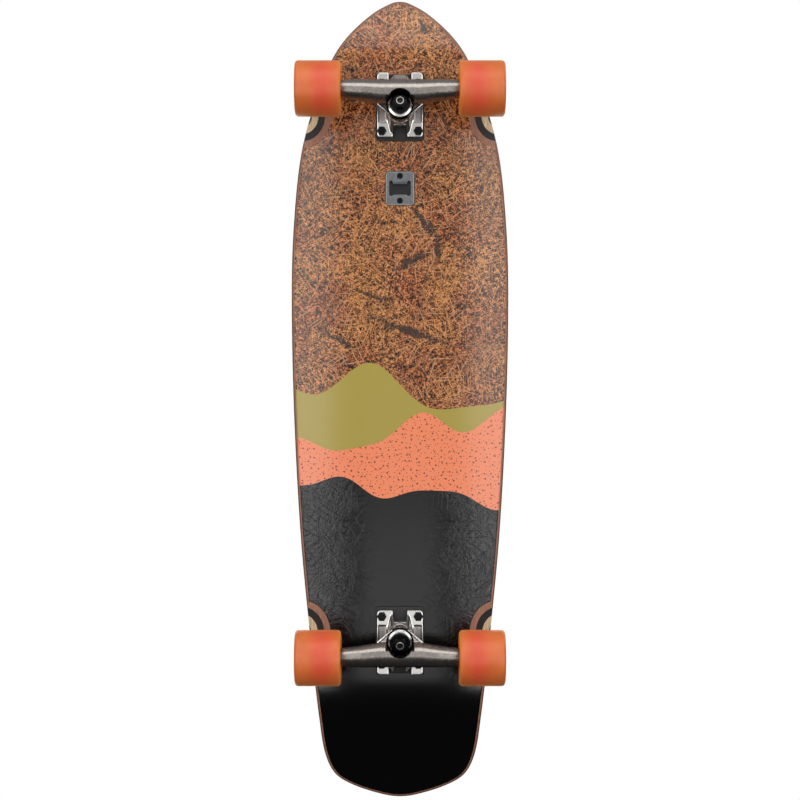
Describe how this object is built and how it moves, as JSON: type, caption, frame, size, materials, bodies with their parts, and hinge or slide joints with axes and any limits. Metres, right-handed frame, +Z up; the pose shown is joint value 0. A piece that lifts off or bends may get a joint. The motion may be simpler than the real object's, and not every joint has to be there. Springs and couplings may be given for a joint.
{
  "type": "cruiser skateboard",
  "caption": "Long cruiser skateboard with a pointed nose, kick tail, carved wheel wells, kingpin trucks, soft wheels and a bottle opener let into the underside.",
  "frame": {"origin": "on the ground under the middle of the deck's length and width, wheels standing on it", "axes": "+Y towards the pointed nose, +X to the rider's right when facing the nose, +Z up"},
  "size_m": [0.2476, 0.9144, 0.1278],
  "materials": {
    "fibre_veneer": "satin lacquer over a brown fibrous veneer, with colour bands",
    "grip": "gritty, with brown and dark bands",
    "opener_steel": "satin grey casting",
    "cast_silver": "polished casting",
    "gunmetal": "dark satin coat, worn bright on its edges",
    "black_steel": "black oxide",
    "bright_steel": "bright zinc",
    "riser_rubber": "matt",
    "bushing_urethane": "satin",
    "orange_urethane": "translucent gloss",
    "core_plastic": "gloss"
  },
  "bodies": {
    "board": {"deck": "fibre_veneer", "grip_tape": "grip", "opener_plate": "opener_steel", "opener_screw_front": "black_steel", "opener_screw_rear": "black_steel", "front_riser": "riser_rubber", "front_baseplate": "cast_silver", "front_pivot_cup": "bushing_urethane", "front_kingpin": "black_steel", "front_kingpin_nut": "black_steel", "front_lower_bushing": "bushing_urethane", "front_upper_bushing": "bushing_urethane", "front_lower_washer": "bright_steel", "front_upper_washer": "black_steel", "front_bolt_outer_left": "black_steel", "front_bolt_outer_right": "black_steel", "front_bolt_inner_left": "black_steel", "front_bolt_inner_right": "black_steel", "rear_riser": "riser_rubber", "rear_baseplate": "cast_silver", "rear_pivot_cup": "bushing_urethane", "rear_kingpin": "black_steel", "rear_kingpin_nut": "black_steel", "rear_lower_bushing": "bushing_urethane", "rear_upper_bushing": "bushing_urethane", "rear_lower_washer": "bright_steel", "rear_upper_washer": "black_steel", "rear_bolt_outer_left": "black_steel", "rear_bolt_outer_right": "black_steel", "rear_bolt_inner_left": "black_steel", "rear_bolt_inner_right": "black_steel"},
    "front_truck": {"front_hanger": "gunmetal", "front_axle": "bright_steel", "front_left_axle_nut": "bright_steel", "front_right_axle_nut": "bright_steel"},
    "front_left_wheel": {"front_left_tyre": "orange_urethane", "front_left_core": "core_plastic", "front_left_spacer": "bright_steel", "front_left_bearing_inner": "bright_steel", "front_left_bearing_outer": "bright_steel"},
    "front_right_wheel": {"front_right_tyre": "orange_urethane", "front_right_core": "core_plastic", "front_right_spacer": "bright_steel", "front_right_bearing_inner": "bright_steel", "front_right_bearing_outer": "bright_steel"},
    "rear_truck": {"rear_hanger": "gunmetal", "rear_axle": "bright_steel", "rear_left_axle_nut": "bright_steel", "rear_right_axle_nut": "bright_steel"},
    "rear_left_wheel": {"rear_left_tyre": "orange_urethane", "rear_left_core": "core_plastic", "rear_left_spacer": "bright_steel", "rear_left_bearing_inner": "bright_steel", "rear_left_bearing_outer": "bright_steel"},
    "rear_right_wheel": {"rear_right_tyre": "orange_urethane", "rear_right_core": "core_plastic", "rear_right_spacer": "bright_steel", "rear_right_bearing_inner": "bright_steel", "rear_right_bearing_outer": "bright_steel"}
  },
  "joints": [
    {"name": "front_steer", "type": "hinge", "parent": "board", "child": "front_truck", "pos_m": [0, 0.32789, 0.0472], "axis": [0, 0.788, 0.6157], "range_deg": [-15, 15], "stiffness_Nm_per_rad": 40, "deforming": ["front_lower_bushing", "front_upper_bushing"]},
    {"name": "rear_steer", "type": "hinge", "parent": "board", "child": "rear_truck", "pos_m": [0, -0.26859, 0.0472], "axis": [0, -0.788, 0.6157], "range_deg": [-15, 15], "stiffness_Nm_per_rad": 40, "deforming": ["rear_lower_bushing", "rear_upper_bushing"]},
    {"name": "front_left_spin", "type": "hinge", "parent": "front_truck", "child": "front_left_wheel", "pos_m": [-0.091, 0.34559, 0.031], "axis": [1, 0, 0], "continuous": true},
    {"name": "front_right_spin", "type": "hinge", "parent": "front_truck", "child": "front_right_wheel", "pos_m": [0.091, 0.34559, 0.031], "axis": [1, 0, 0], "continuous": true},
    {"name": "rear_left_spin", "type": "hinge", "parent": "rear_truck", "child": "rear_left_wheel", "pos_m": [-0.091, -0.28629, 0.031], "axis": [1, 0, 0], "continuous": true},
    {"name": "rear_right_spin", "type": "hinge", "parent": "rear_truck", "child": "rear_right_wheel", "pos_m": [0.091, -0.28629, 0.031], "axis": [1, 0, 0], "continuous": true}
  ]
}
